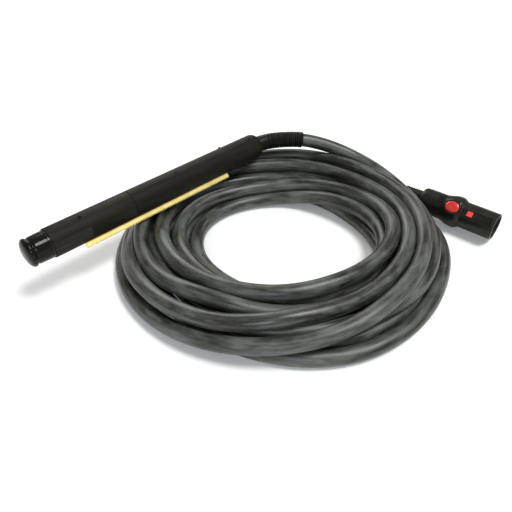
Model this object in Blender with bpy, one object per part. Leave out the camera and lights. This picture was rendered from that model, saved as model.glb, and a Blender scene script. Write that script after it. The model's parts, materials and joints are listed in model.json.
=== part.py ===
"""Mechanised plasma-cutting torch with its coiled lead and quick-disconnect plug.

Sizes are in millimetres, and MM turns them into Blender's metres.
The torch's axis runs along +X, from the nose to the lead, AXIS_HEIGHT above
the surface that the coil lies on. The origin is the point of the coil's
underside that lies straight below that axis.
"""
import math

import bmesh
import bpy
from mathutils import Matrix, Vector

MM = 0.001
GAP = 0.3                 # between pieces that touch
ROUND = 30                # sides of a turned piece that shows
HIDDEN_ROUND = 20         # sides of a turned piece inside the housings
SPRING_SIDES = 5          # sides of a spring's wire

# Torch: places along X
AXIS_HEIGHT = 68.5
BARREL_FRONT = -242.0
SLEEVE_SEAM = -137.0
BARREL_REAR = 79.0
NOSE_CAP_LENGTH = 28.5

# Torch: radii
BARREL_R = 17.45
SLEEVE_BORE_R = 14.3
INNER_R = SLEEVE_BORE_R - GAP

# Gear rack, 32 diametral pitch
RACK_START = -206.4
RACK_TEETH = 87
RACK_PITCH = math.pi * 25.4 / 32
RACK_WIDTH = 6.35
RACK_TIP_R = 23.6
RACK_TOOTH_DEPTH = 1.7
RACK_SEAT_R = 15.75
RACK_LENGTH = RACK_TEETH * RACK_PITCH
RACK_SCREWS = (-162.0, -90.0, -8.0)

# Angles about the torch's axis, in degrees from +Y towards +Z
RACK_ANGLE = 232.0
SCREW_ANGLE = 104.0
TOP_SCREW_ANGLE = 52.0
STOP_SCREW_ANGLE = 201.7
FLAT_ANGLE = 179.5
SENSOR_ANGLE = 262.0

# Screws through the barrel's wall
SLEEVE_SCREWS = (("front", -202.7), ("middle", -67.6), ("rear", 61.7))
TOP_SCREW_X = 19.0
STOP_SCREW_X = 12.0

# Lead
LEAD_R = 9.25
LEAD_ROUTE = [
    (60, 0, 68.5), (79, 0, 68.5), (90, -2.6, 69.3), (101, -8.8, 70.4), (112, -17.2, 71.2),
    (123, -26.8, 71.4), (134, -36.6, 70.6), (145, -46.6, 68), (156.5, -57.4, 63.6), (168, -69, 57.6),
    (178.5, -82, 51), (186.5, -97, 45.4), (191.5, -113, 41),
]
RELIEF_LENGTH = 71.0      # along the route, from the barrel's rear face
RELIEF_BORE_R = 7.2
RELIEF_RIBS = 18
COIL_CENTRE = (-8.0, -126.0)
COIL_INNER_R = 98.0
COIL_OUTER_R = 197.0
COIL_HEIGHT = 46.5

# Plug, in its own frame: X towards the mouth from just inside the grip's rear,
# Z straight out through the release button
PLUG_REAR = (192.6, -222.8, 22.5)
PLUG_HEADING = -86.3      # degrees from +X in plan
PLUG_ROLL = 44.0          # the button's direction, above the horizontal
GRIP_REAR = -7.5
GRIP_LENGTH = 51.5
PLUG_LENGTH = 94.8
PLUG_SLEEVE_R = 17.6
PLUG_BORE_R = 15.0
PLUG_RELIEF_LENGTH = 34.0
LEVER_PIVOT = (9.0, 10.8)
BUTTON_X = 38.5
BUTTON_SIZE = (18.4, 15.0)
CATCH_X = 62.0
CATCH_SIZE = (7.4, 6.8)
INSERT_REAR = 53.0
INSERT_FACE = 87.0
GRIP_SCREW_X = 47.5
GRIP_SCREW_ANGLES = (206.0, 334.0)
CONTACTS = (              # name, angle and radius of its place, its own radius
    ("gas_contact", 0.0, 0.0, 3.0),
    ("power_contact", 200.0, 8.6, 2.4),
    ("pilot_contact", 340.0, 8.6, 1.9),
    ("signal_contact_1", 230.0, 9.6, 1.0),
    ("signal_contact_2", 255.0, 9.6, 1.0),
    ("signal_contact_3", 285.0, 9.6, 1.0),
    ("signal_contact_4", 310.0, 9.6, 1.0),
    ("signal_contact_5", 30.0, 9.6, 1.0),
    ("signal_contact_6", 150.0, 9.6, 1.0),
)
LEAD_END_ROUTE = [
    (204.5, -184.5, 14.5), (206.6, -168, 11), (207.6, -150, 9.6), (207.2, -132, 9.6),
    (206.8, -118, 9.6),
]

TORCH = Matrix.Translation((0, 0, AXIS_HEIGHT * MM))


def plug_frame():
    """The plug's place and turn in the world."""
    heading = math.radians(PLUG_HEADING)
    roll = math.radians(PLUG_ROLL)
    along = Vector((math.cos(heading), math.sin(heading), 0))
    level = Vector((math.sin(heading), -math.cos(heading), 0))
    out = level * math.cos(roll) + Vector((0, 0, math.sin(roll)))
    side = out.cross(along)
    turn = Matrix((along, side, out)).transposed().to_4x4()
    return Matrix.Translation(Vector(PLUG_REAR) * MM) @ turn


PLUG = plug_frame()
LATCH = PLUG @ Matrix.Translation((LEVER_PIVOT[0] * MM, 0, LEVER_PIVOT[1] * MM))


def clear_scene():
    for item in list(bpy.data.objects):
        bpy.data.objects.remove(item, do_unlink=True)


def paint(name, colour, roughness, metallic=0.0):
    """A Principled material, made once and shared by name."""
    made = bpy.data.materials.get(name)
    if made:
        return made
    made = bpy.data.materials.new(name)
    made.use_nodes = True
    shader = made.node_tree.nodes["Principled BSDF"]
    shader.inputs["Base Color"].default_value = (*colour, 1.0)
    shader.inputs["Roughness"].default_value = roughness
    shader.inputs["Metallic"].default_value = metallic
    return made


def barrel_plastic():
    return paint("barrel_plastic", (0.05, 0.048, 0.042), 0.5)


def cap_vinyl():
    return paint("cap_vinyl", (0.02, 0.02, 0.02), 0.12)


def lead_rubber():
    return paint("lead_rubber", (0.12, 0.12, 0.115), 0.6)


def boot_rubber():
    return paint("boot_rubber", (0.04, 0.04, 0.035), 0.5)


def plug_plastic():
    return paint("plug_plastic", (0.045, 0.045, 0.04), 0.4)


def insert_plastic():
    return paint("insert_plastic", (0.02, 0.02, 0.02), 0.5)


def red_plastic():
    return paint("red_plastic", (0.75, 0.07, 0.06), 0.25)


def brass():
    return paint("brass", (0.85, 0.68, 0.3), 0.3, 1.0)


def copper():
    return paint("copper", (0.8, 0.42, 0.27), 0.3, 1.0)


def steel():
    return paint("steel", (0.25, 0.25, 0.25), 0.35, 1.0)


def ceramic():
    return paint("swirl_ceramic", (0.75, 0.6, 0.42), 0.5)


def hose_rubber():
    return paint("hose_rubber", (0.03, 0.03, 0.03), 0.5)


def seal_rubber():
    return paint("seal_rubber", (0.02, 0.02, 0.02), 0.45)


def finish(shape, name, material, place=Matrix()):
    """Turn a bmesh into a named, painted, smooth-shaded object, put in its place."""
    bmesh.ops.recalc_face_normals(shape, faces=shape.faces)
    mesh = bpy.data.meshes.new(name)
    shape.to_mesh(mesh)
    shape.free()
    mesh.shade_smooth()
    mesh.set_sharp_from_angle(angle=math.radians(35))
    mesh.materials.append(material)
    made = bpy.data.objects.new(name, mesh)
    made.matrix_world = place
    bpy.context.scene.collection.objects.link(made)
    return made


def turned(name, outline, material, place=Matrix(), sides=ROUND):
    """A lathe-turned body about local X from (x, radius) points.

    An outline that starts and ends on the axis makes a solid body, and its flat
    ends become single faces; any other outline is closed on itself and makes a ring.
    """
    solid = outline[0][1] == 0 and outline[-1][1] == 0
    points = list(outline)
    if solid and points[0][0] == points[1][0]:
        points.pop(0)
    if solid and points[-1][0] == points[-2][0]:
        points.pop()
    shape = bmesh.new()
    verts = [shape.verts.new((x * MM, 0, radius * MM)) for x, radius in points]
    edges = [shape.edges.new(pair) for pair in zip(verts, verts[1:])]
    if not solid:
        edges.append(shape.edges.new((verts[-1], verts[0])))
    bmesh.ops.spin(shape, geom=verts + edges, cent=(0, 0, 0), axis=(1, 0, 0),
                   angle=math.tau, steps=sides, use_merge=True)
    bmesh.ops.remove_doubles(shape, verts=shape.verts, dist=1e-7)
    rims = [edge for edge in shape.edges if edge.is_boundary]
    bmesh.ops.holes_fill(shape, edges=rims, sides=0)
    return finish(shape, name, material, place)


def prism(name, outline, width, material, place=Matrix()):
    """A flat outline of (x, z) points, extruded to a width centred on local Y."""
    shape = bmesh.new()
    verts = [shape.verts.new((x * MM, -width / 2 * MM, z * MM)) for x, z in outline]
    face = shape.faces.new(verts)
    grown = bmesh.ops.extrude_face_region(shape, geom=[face])
    moved = [item for item in grown["geom"] if isinstance(item, bmesh.types.BMVert)]
    bmesh.ops.translate(shape, verts=moved, vec=(0, width * MM, 0))
    return finish(shape, name, material, place)


def block_outline(x_low, x_high, z_low, z_high):
    return [(x_low, z_low), (x_high, z_low), (x_high, z_high), (x_low, z_high)]


def combine(target, other, operation):
    """Boolean a helper shape into a target, and hide the helper."""
    change = target.modifiers.new(other.name, "BOOLEAN")
    change.operation = operation
    change.solver = "EXACT"
    change.object = other
    other.hide_render = True
    other.display_type = "WIRE"


def cut(target, *cutters):
    for cutter in cutters:
        combine(target, cutter, "DIFFERENCE")


def join(target, *others):
    for other in others:
        combine(target, other, "UNION")


def radial(frame, x, degrees, radius=0.0):
    """Local X turned to point outwards at an angle about the frame's X axis."""
    turn = Matrix.Rotation(math.radians(degrees), 4, "X") @ Matrix.Rotation(math.radians(90), 4, "Z")
    return frame @ Matrix.Translation((x * MM, 0, 0)) @ turn @ Matrix.Translation((radius * MM, 0, 0))


def about_axis(frame, degrees):
    """Local Z turned to point outwards at an angle about the frame's X axis."""
    return frame @ Matrix.Rotation(math.radians(degrees - 90), 4, "X")


def rod(start, end, radius):
    return [(start, 0), (start, radius), (end, radius), (end, 0)]


def tube(start, end, inner, outer):
    return [(start, inner), (start, outer), (end, outer), (end, inner)]


def smooth_route(points, spacing):
    """Evenly spaced points on a smooth curve through a route's own points."""
    nodes = [Vector(point) for point in points]
    ends = [nodes[0] * 2 - nodes[1]] + nodes + [nodes[-1] * 2 - nodes[-2]]
    fine = []
    for before, start, end, after in zip(ends, ends[1:], ends[2:], ends[3:]):
        for step in range(24):
            t = step / 24
            fine.append(0.5 * (2 * start + (end - before) * t
                               + (2 * before - 5 * start + 4 * end - after) * t ** 2
                               + (3 * start - before - 3 * end + after) * t ** 3))
    fine.append(nodes[-1])
    lengths = [0.0]
    for start, end in zip(fine, fine[1:]):
        lengths.append(lengths[-1] + (end - start).length)
    count = max(2, round(lengths[-1] / spacing))
    route = []
    piece = 0
    for index in range(count + 1):
        wanted = lengths[-1] * index / count
        while piece < len(fine) - 2 and lengths[piece + 1] < wanted:
            piece += 1
        share = (wanted - lengths[piece]) / (lengths[piece + 1] - lengths[piece])
        route.append(fine[piece].lerp(fine[piece + 1], share))
    return route


def length_of(route):
    return sum((end - start).length for start, end in zip(route, route[1:]))


def section_frames(route):
    """Side and up directions across a nearly level route, at each of its points."""
    frames = []
    for index in range(len(route)):
        ahead = route[min(index + 1, len(route) - 1)] - route[max(index - 1, 0)]
        side = Vector((0, 0, 1)).cross(ahead).normalized()
        frames.append((side, ahead.cross(side).normalized()))
    return frames


def swept(name, route, radii, material, bore=0.0, bore_points=(), sides=16):
    """A round body along a route, its radius given at each point.

    It is solid, or has a smooth bore with rings at the numbered bore_points.
    """
    shape = bmesh.new()
    frames = section_frames(route)

    def rings(sizes, indices):
        made = []
        for index in indices:
            centre, (side, up), size = route[index], frames[index], sizes[index]
            ring = []
            for step in range(sides):
                angle = math.tau * step / sides
                point = centre + size * (math.cos(angle) * side + math.sin(angle) * up)
                ring.append(shape.verts.new(point * MM))
            made.append(ring)
        return made

    def skin(first, second):
        for step in range(sides):
            after = (step + 1) % sides
            shape.faces.new((first[step], first[after], second[after], second[step]))

    outer = rings(radii, range(len(route)))
    for first, second in zip(outer, outer[1:]):
        skin(first, second)
    if bore:
        inner = rings([bore] * len(route), bore_points)
        for first, second in zip(inner, inner[1:]):
            skin(second, first)
        skin(inner[0], outer[0])
        skin(outer[-1], inner[-1])
    else:
        shape.faces.new(outer[0])
        shape.faces.new(outer[-1])
    return finish(shape, name, material)


def cord_tube(name, route, radius, material):
    """A free stretch of cord: a curve with a round bevel and filled caps."""
    curve = bpy.data.curves.new(name, "CURVE")
    curve.dimensions = "3D"
    curve.bevel_depth = radius * MM
    curve.bevel_resolution = 3
    curve.use_fill_caps = True
    spline = curve.splines.new("POLY")
    spline.points.add(len(route) - 1)
    for point, centre in zip(spline.points, route):
        point.co = (*(centre * MM), 1.0)
    curve.materials.append(material)
    made = bpy.data.objects.new(name, curve)
    bpy.context.scene.collection.objects.link(made)
    return made


def helix(name, start, end, coil_radius, wire_radius, turns, material, place):
    """A compression spring about local X."""
    steps = 10 * turns
    centres = []
    for index in range(steps + 1):
        angle = math.tau * turns * index / steps
        x = start + (end - start) * index / steps
        centres.append(Vector((x, coil_radius * math.cos(angle), coil_radius * math.sin(angle))))
    shape = bmesh.new()
    rings = []
    for index, centre in enumerate(centres):
        angle = math.tau * turns * index / steps
        out = Vector((0, math.cos(angle), math.sin(angle)))
        ring = []
        for step in range(SPRING_SIDES):
            around = math.tau * step / SPRING_SIDES
            offset = out * math.cos(around) + Vector((1, 0, 0)) * math.sin(around)
            ring.append(shape.verts.new((centre + offset * wire_radius) * MM))
        rings.append(ring)
    for first, second in zip(rings, rings[1:]):
        for step in range(SPRING_SIDES):
            after = (step + 1) % SPRING_SIDES
            shape.faces.new((first[step], first[after], second[after], second[step]))
    shape.faces.new(rings[0])
    shape.faces.new(rings[-1])
    return finish(shape, name, material, place)


def oval(name, x_centre, size, z_low, z_high, material, frame):
    """An upright oval column, for a button or its window."""
    shape = bmesh.new()
    steps = 24
    ring = []
    for step in range(steps):
        angle = math.tau * (step + 0.5) / steps
        x = x_centre + size[0] / 2 * math.cos(angle)
        y = size[1] / 2 * math.sin(angle)
        ring.append(shape.verts.new((x * MM, y * MM, z_low * MM)))
    face = shape.faces.new(ring)
    grown = bmesh.ops.extrude_face_region(shape, geom=[face])
    moved = [item for item in grown["geom"] if isinstance(item, bmesh.types.BMVert)]
    bmesh.ops.translate(shape, verts=moved, vec=(0, 0, (z_high - z_low) * MM))
    return finish(shape, name, material, frame)


# ---- torch barrel -------------------------------------------------------------

def rack_slot(name):
    """Cutter for the slot that the rack is let into."""
    slot = block_outline(RACK_START - GAP, RACK_START + RACK_LENGTH + GAP, RACK_SEAT_R, BARREL_R + 2)
    return prism(name, slot, RACK_WIDTH + 2 * GAP, steel(), about_axis(TORCH, RACK_ANGLE))


def drilled(name, depth, radius, place, outside=BARREL_R + 2):
    """Cutter for a plain hole, from outside a wall in to a depth."""
    return turned(name, rod(depth, outside, radius), steel(), place, sides=12)


def barrel():
    """Front mounting sleeve and rear positioning sleeve, slotted for the rack."""
    front = turned("mounting_sleeve", [
        (BARREL_FRONT, SLEEVE_BORE_R), (BARREL_FRONT, BARREL_R - 0.6), (BARREL_FRONT + 0.6, BARREL_R),
        (SLEEVE_SEAM - 0.15, BARREL_R), (SLEEVE_SEAM - 0.15, SLEEVE_BORE_R)], barrel_plastic(), TORCH)
    rear_start = SLEEVE_SEAM + 0.15
    shoulder = [(70 + 9 * math.sin(step * math.pi / 10), 13.2 + 4.25 * math.cos(step * math.pi / 10))
                for step in range(6)]
    rear = turned("positioning_sleeve", [
        (rear_start, SLEEVE_BORE_R), (rear_start, BARREL_R), *shoulder,
        (BARREL_REAR, 11.9), (74, 11.9), (74, SLEEVE_BORE_R)], barrel_plastic(), TORCH)
    side_flat = prism("side_flat", block_outline(-197, SLEEVE_SEAM + 3, 15.7, BARREL_R + 2), 22,
                      steel(), about_axis(TORCH, FLAT_ANGLE))
    cut(front, side_flat, rack_slot("rack_slot_front"))
    cut(rear, rack_slot("rack_slot_rear"),
        drilled("top_screw_hole", 9, 1.3, radial(TORCH, TOP_SCREW_X, TOP_SCREW_ANGLE)),
        drilled("stop_screw_hole", 9, 1.2, radial(TORCH, STOP_SCREW_X, STOP_SCREW_ANGLE)))
    for name, x in SLEEVE_SCREWS:
        outline = [(9, 0), (9, 1.3), (15.9, 1.3), (15.9, 2.4), (BARREL_R + 2, 2.4), (BARREL_R + 2, 0)]
        cut(front if x < SLEEVE_SEAM else rear,
            turned(f"{name}_screw_hole", outline, steel(), radial(TORCH, x, SCREW_ANGLE), sides=16))
    for index, x in enumerate(RACK_SCREWS):
        cut(front if x < SLEEVE_SEAM else rear,
            drilled(f"rack_screw_hole_{index}", 10, 1.5, radial(TORCH, x, RACK_ANGLE)))


def gear_rack():
    """Straight toothed bar let into the barrel, teeth outwards."""
    root = RACK_TIP_R - RACK_TOOTH_DEPTH
    outline = [(RACK_START, RACK_SEAT_R + GAP), (RACK_START + RACK_LENGTH, RACK_SEAT_R + GAP),
               (RACK_START + RACK_LENGTH, root)]
    for tooth in reversed(range(RACK_TEETH)):
        start = RACK_START + tooth * RACK_PITCH
        for share, radius in ((0.8, root), (0.62, RACK_TIP_R), (0.38, RACK_TIP_R), (0.2, root)):
            outline.append((start + share * RACK_PITCH, radius))
    outline.append((RACK_START, root))
    rack = prism("gear_rack", outline, RACK_WIDTH, brass(), about_axis(TORCH, RACK_ANGLE))
    for index, x in enumerate(RACK_SCREWS):
        cut(rack, drilled(f"rack_tap_{index}", 14, 1.3, radial(TORCH, x, RACK_ANGLE), 20.3))
        turned(f"rack_screw_{index + 1}",
               [(12.1, 0), (12.1, 2.4), (13.8, 2.4), (13.8, 1.0), (20, 1.0), (20, 0)],
               steel(), radial(TORCH, x, RACK_ANGLE), sides=12)


def barrel_screws():
    """Recessed socket screws along the barrel, a dome-headed one and the rack's end stop."""
    for name, x in SLEEVE_SCREWS:
        turned(f"sleeve_screw_{name}", [
            (11.4, 0), (11.4, 1.0), (16.2, 1.0), (16.2, 2.1), (17.2, 2.1), (17.2, 1.0), (16.3, 0.9),
            (16.3, 0)], steel(), radial(TORCH, x, SCREW_ANGLE), sides=16)
    turned("top_screw", [
        (14.6, 0), (14.6, 1.0), (17.8, 1.0), (17.8, 1.9), (18.6, 1.9), (18.9, 1.2), (18.9, 0)],
        steel(), radial(TORCH, TOP_SCREW_X, TOP_SCREW_ANGLE), sides=16)
    turned("rack_stop_screw", [
        (14.8, 0), (14.8, 0.9), (17.9, 0.9), (17.9, 1.4), (18.7, 1.4), (18.7, 0)],
        steel(), radial(TORCH, STOP_SCREW_X, STOP_SCREW_ANGLE), sides=16)


def sleeve_coupler():
    """Ring inside the seam that joins the two sleeves."""
    turned("sleeve_coupler", [
        (-150, 11.6), (-150, INNER_R), (-137.6, INNER_R), (-137.6, 13.4), (-136.4, 13.4),
        (-136.4, INNER_R), (-124, INNER_R), (-124, 11.6)], brass(), TORCH, HIDDEN_ROUND)


def inner_rings():
    """Rings inside the barrel that steady the hoses and clamp the lead."""
    guide = turned("hose_guide", tube(-72, -63, 8.6, INNER_R), insert_plastic(), TORCH, HIDDEN_ROUND)
    clamp = turned("lead_clamp_ring", tube(56, 65, 8.6, INNER_R), brass(), TORCH, HIDDEN_ROUND)
    for ring, (name, x) in zip((guide, clamp), SLEEVE_SCREWS[1:]):
        cut(ring, drilled(f"{name}_tap", 10.6, 1.3, radial(TORCH, x, SCREW_ANGLE)))


# ---- torch head and consumables -------------------------------------------------

def nose_cap():
    """Soft pull-on cap over the consumables, with a domed bumper end."""
    tip = BARREL_FRONT - NOSE_CAP_LENGTH
    outline = [
        (tip, 0), (tip, 0.9), (tip + 0.6, 1.3), (tip + 0.8, 5.0), (tip + 1.6, 10.0), (tip + 2.8, 13.6),
        (tip + 4.2, 15.8), (tip + 5.6, 16.5), (tip + 7.0, 16.3), (tip + 8.2, 15.2), (tip + 9.4, 14.9),
        (tip + 10.6, 15.6), (-246.2, 16.2), (-245.6, 15.8), (-244.8, 15.8), (-244.2, 16.4),
        (BARREL_FRONT - GAP, 16.4), (BARREL_FRONT - GAP, 14.6), (tip + 11.5, 14.4), (tip + 9.0, 13.4),
        (tip + 5.0, 12.6), (tip + 4.0, 11.0), (tip + 3.4, 0)]
    turned("nose_cap", outline, cap_vinyl(), TORCH)


def torch_head():
    """The torch's main body: cup for the swirl ring in front, plunger bore behind."""
    head = turned("torch_head", [
        (-252, 10.0), (-252, 11.6), (-247.8, 11.6), (-247.8, 10.8), (-245.4, 10.8), (-245.4, 11.6),
        (-242.6, 11.6), (-242.6, INNER_R), (-182, INNER_R), (-182, 4.6), (-206, 4.6), (-206, 3.7),
        (-208, 3.7), (-208, 5.4), (-240, 5.4), (-240, 10.0)], brass(), TORCH, HIDDEN_ROUND)
    sensor_place = about_axis(TORCH, SENSOR_ANGLE)
    pin_place = sensor_place @ Matrix.Translation((0, 0, 12.9 * MM))
    cut(head,
        prism("switch_pocket", block_outline(-236.4, -227, 10.2, INNER_R + 2), 7, steel(), sensor_place),
        drilled("pin_hole", -244, 0.8, pin_place, -235),
        drilled("head_tap", 10.8, 1.3, radial(TORCH, SLEEVE_SCREWS[0][1], SCREW_ANGLE)))
    turned("head_o_ring", [(-246.6 + 0.8 * math.cos(math.tau * step / 8),
                            12.0 + 0.8 * math.sin(math.tau * step / 8)) for step in range(8)],
           seal_rubber(), TORCH, HIDDEN_ROUND)
    prism("cap_sensor_switch", block_outline(-234.6, -227.6, 10.6, 13.6), 6, insert_plastic(),
          sensor_place)
    turned("cap_sensor_pin", rod(-243.1, -235.8, 0.5), steel(), pin_place, sides=12)


def consumables():
    """Retaining cap, shield, nozzle, swirl ring and electrode."""
    turned("retaining_cap", [
        (-257.6, 8.6), (-257.6, 12.4), (-255.6, 13.6), (-243.4, 13.8), (-243.4, 12.8), (-244.4, 12.8),
        (-244.4, 13.2), (-255.4, 13.2), (-255.4, 8.6)], copper(), TORCH, HIDDEN_ROUND)
    turned("shield", [
        (-265.4, 1.8), (-265.4, 4.2), (-259.6, 8.2), (-255.1, 8.2), (-255.1, 11.0), (-253.6, 11.0),
        (-253.6, 6.6), (-259.0, 6.6), (-263.4, 3.4), (-263.4, 1.8)], copper(), TORCH, HIDDEN_ROUND)
    turned("nozzle", [
        (-262.8, 0.8), (-262.8, 2.4), (-258.8, 5.4), (-253.3, 6.0), (-253.3, 9.4),
        (-252.5, 9.4), (-252.5, 4.9), (-258.4, 4.4), (-260.4, 0.8)], copper(), TORCH, HIDDEN_ROUND)
    turned("swirl_ring", tube(-251.6, -241, 5.2, 9.4), ceramic(), TORCH, HIDDEN_ROUND)


def plunger_group():
    """Electrode and the sprung plunger that the gas pushes back."""
    turned("electrode", [
        (-258.8, 0), (-258.8, 2.4), (-256.8, 3.6), (-240.4, 3.6), (-240.4, 4.4), (-238, 4.4), (-238, 0)],
        copper(), TORCH, HIDDEN_ROUND)
    turned("plunger", [(-237.7, 0), (-237.7, 4.9), (-234, 4.9), (-234, 3.0), (-200, 3.0), (-200, 0)],
           brass(), TORCH, HIDDEN_ROUND)
    helix("plunger_spring", -232.0, -209.4, 4.2, 0.45, 5, steel(), TORCH)


# ---- lead -----------------------------------------------------------------------

def part_route(route, start, end, spacing):
    """The stretch of a finely stepped route between two lengths along it."""
    along = 0.0
    kept = []
    for first, second in zip(route, route[1:]):
        if start <= along <= end:
            kept.append(first)
        along += (second - first).length
    count = max(2, round((end - start) / spacing))
    return [kept[round(index * (len(kept) - 1) / count)] for index in range(count + 1)]


def strain_relief():
    """Ribbed boot around the lead where it leaves the barrel."""
    fine = smooth_route(LEAD_ROUTE, 0.25)
    barrel_end = BARREL_REAR - LEAD_ROUTE[0][0]
    end = barrel_end + RELIEF_LENGTH
    ribs_start = barrel_end + 20.0
    rib_pitch = (end - ribs_start) / RELIEF_RIBS
    marks = [(barrel_end - 13, 13.8), (barrel_end - 5.6, 13.8), (barrel_end - 5.5, 10.9),
             (barrel_end, 10.9), (barrel_end + 5, 11.0), (barrel_end + 10, 11.1),
             (barrel_end + 15, 11.1), (ribs_start, 11.0)]
    smooth_marks = len(marks)
    for rib in range(RELIEF_RIBS):
        at = ribs_start + rib * rib_pitch
        crest = 11.3 - 0.5 * rib / RELIEF_RIBS
        marks += [(at + 0.3 * rib_pitch, crest - 0.9), (at + 0.95 * rib_pitch, crest)]
    steps = [0.0]
    for first, second in zip(fine, fine[1:]):
        steps.append(steps[-1] + (second - first).length)
    centres = []
    radii = []
    for along, radius in marks:
        index = min(range(len(steps)), key=lambda item: abs(steps[item] - along))
        if centres and (fine[index] - centres[-1]).length < 0.1:
            index += 1
        centres.append(fine[index])
        radii.append(radius)
    last = len(centres) - 1
    bore_points = [*range(smooth_marks), *range(smooth_marks + 3, last, 4), last]
    swept("strain_relief", centres, radii, boot_rubber(), RELIEF_BORE_R, bore_points, sides=18)
    return end


def inner_leads(relief_end):
    """Hose and wires from the torch head to the end of the boot."""
    straight = [(-181.5, 0, AXIS_HEIGHT), (-60, 0, AXIS_HEIGHT), (20, 0, AXIS_HEIGHT)]
    fine = smooth_route(straight + LEAD_ROUTE, 0.5)
    total = relief_end + LEAD_ROUTE[0][0] - straight[0][0] - 2.0
    route = part_route(fine, 0.0, total, 13.0)
    frames = section_frames(route)
    for name, across, height, radius, material in (
            ("power_hose", 0.0, -2.7, 3.4, hose_rubber()),
            ("pilot_wire", 2.4, 3.2, 1.4, red_plastic()),
            ("signal_wire", -2.6, 3.2, 1.2, insert_plastic())):
        centres = [centre + side * across + up * height for centre, (side, up) in zip(route, frames)]
        swept(name, centres, [radius] * len(centres), material, sides=8)


def lead(relief_end):
    """The free lead: a tube from the boot, the coil's outer shape, and a tube to the plug."""
    fine = smooth_route(LEAD_ROUTE, 0.5)
    tail = part_route(fine, relief_end + GAP, length_of(fine), 9.0)
    cord_tube("lead_tail", tail, LEAD_R, lead_rubber())
    cord_tube("lead_end", smooth_route(LEAD_END_ROUTE, 9.0), LEAD_R, lead_rubber())
    upright = Matrix.Translation((COIL_CENTRE[0] * MM, COIL_CENTRE[1] * MM, 0)) @ Matrix.Rotation(
        math.radians(-90), 4, "Y")
    turned("lead_coil", [
        (0, COIL_INNER_R + 5), (0, COIL_OUTER_R - 5), (5, COIL_OUTER_R), (16, COIL_OUTER_R),
        (34, COIL_OUTER_R - 8), (COIL_HEIGHT - 6, COIL_OUTER_R - 17), (COIL_HEIGHT, COIL_OUTER_R - 24),
        (COIL_HEIGHT, COIL_INNER_R + 22), (COIL_HEIGHT - 6, COIL_INNER_R + 15), (34, COIL_INNER_R + 7),
        (16, COIL_INNER_R), (5, COIL_INNER_R)], lead_rubber(), upright, sides=40)


# ---- plug -----------------------------------------------------------------------

def plug_housing():
    """Rear grip with its bulge, and the front sleeve with its key channel."""
    flare = [(22 + 18 * step / 6, 17.2 + 3.9 * (1 - math.cos(math.pi * step / 6)) / 2)
             for step in range(7)]
    grip = turned("plug_grip", [
        (GRIP_REAR, 8.8), (GRIP_REAR, 14.5), (GRIP_REAR + 1.2, 16.0), (GRIP_REAR + 3.6, 16.9), *flare,
        (45, 21.1), (47.2, 20.5), (49, 19.2), (GRIP_LENGTH - 1, 17.9), (GRIP_LENGTH - GAP, 17.6),
        (GRIP_LENGTH - GAP, 15.9), (40, 15.9), (34, 16.4), (22, 14.4), (3, 14.0), (3, 8.8)],
        plug_plastic(), PLUG)
    boss = oval("button_boss", BUTTON_X, (22.5, 19.0), 15.4, 21.6, plug_plastic(), PLUG)
    window = oval("button_window", BUTTON_X, (BUTTON_SIZE[0] + 1.6, BUTTON_SIZE[1] + 1.0), 11, 26,
                  steel(), PLUG)
    way_outline = block_outline(LEVER_PIVOT[0] - 3.6, GRIP_LENGTH + 2, 6.5, 15.3)
    lever_way = prism("lever_way", way_outline, 7.4, steel(), PLUG)
    pin_way = turned("pin_way", rod(-10.8, 10.8, 1.55), steel(), lever_pivot(), sides=12)
    join(grip, boss)
    cut(grip, window, lever_way, pin_way)
    sleeve = turned("plug_sleeve", [
        (44.5, 13.4), (44.5, 15.6), (GRIP_LENGTH, 15.6), (GRIP_LENGTH, PLUG_SLEEVE_R),
        (PLUG_LENGTH - 0.6, PLUG_SLEEVE_R), (PLUG_LENGTH, PLUG_SLEEVE_R - 0.6), (PLUG_LENGTH, PLUG_BORE_R),
        (GRIP_LENGTH, PLUG_BORE_R), (GRIP_LENGTH, 13.4)], plug_plastic(), PLUG)
    channel = prism("key_channel", block_outline(GRIP_LENGTH - 4, 90.5, 16.2, 20), 9.4, steel(), PLUG)
    lever_slot = prism("lever_slot", block_outline(43, GRIP_LENGTH + 0.5, 6.5, 18), 7.4, steel(), PLUG)
    half = CATCH_SIZE[0] / 2 + 0.9
    catch_window = prism("catch_window", block_outline(CATCH_X - half, CATCH_X + half, 10, 20),
                         CATCH_SIZE[1] + 0.9, steel(), PLUG)
    cut(sleeve, window, channel, lever_slot, catch_window)
    for name, degrees in zip(("grip_screw_left", "grip_screw_right"), GRIP_SCREW_ANGLES):
        place = radial(PLUG, GRIP_SCREW_X, degrees)
        for wall in (grip, sleeve):
            cut(wall, drilled(f"{wall.name}_{name}_hole", 10, 1.3, place, 24))
        turned(name, rod(11.6, 18.6, 1.0), steel(), place, sides=12)


def contact_insert():
    """Insulating block in the mouth that holds the gas, power and signal contacts."""
    insert = turned("contact_insert", rod(INSERT_REAR, INSERT_FACE, PLUG_BORE_R - GAP),
                    insert_plastic(), PLUG)
    room = block_outline(INSERT_REAR - 1, CATCH_X + 6.5, 6.3, 18)
    cut(insert, prism("lever_room", room, 10, steel(), PLUG))
    for name, degrees, radius, size in CONTACTS:
        angle = math.radians(degrees)
        place = PLUG @ Matrix.Translation((0, radius * math.cos(angle) * MM, radius * math.sin(angle) * MM))
        cut(insert, drilled(f"{name}_hole", INSERT_FACE - 20, size + 0.5, place, INSERT_FACE + 1))
        turned(name, [
            (INSERT_FACE - 19.6, 0), (INSERT_FACE - 19.6, size), (INSERT_FACE - 1.2, size),
            (INSERT_FACE - 1.2, size * 0.55), (INSERT_FACE - 9, size * 0.55), (INSERT_FACE - 9, 0)],
            brass(), place, sides=12)


def lever_pivot():
    """Local X laid along the latch's pivot pin."""
    return LATCH @ Matrix.Rotation(math.pi / 2, 4, "Z")


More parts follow.
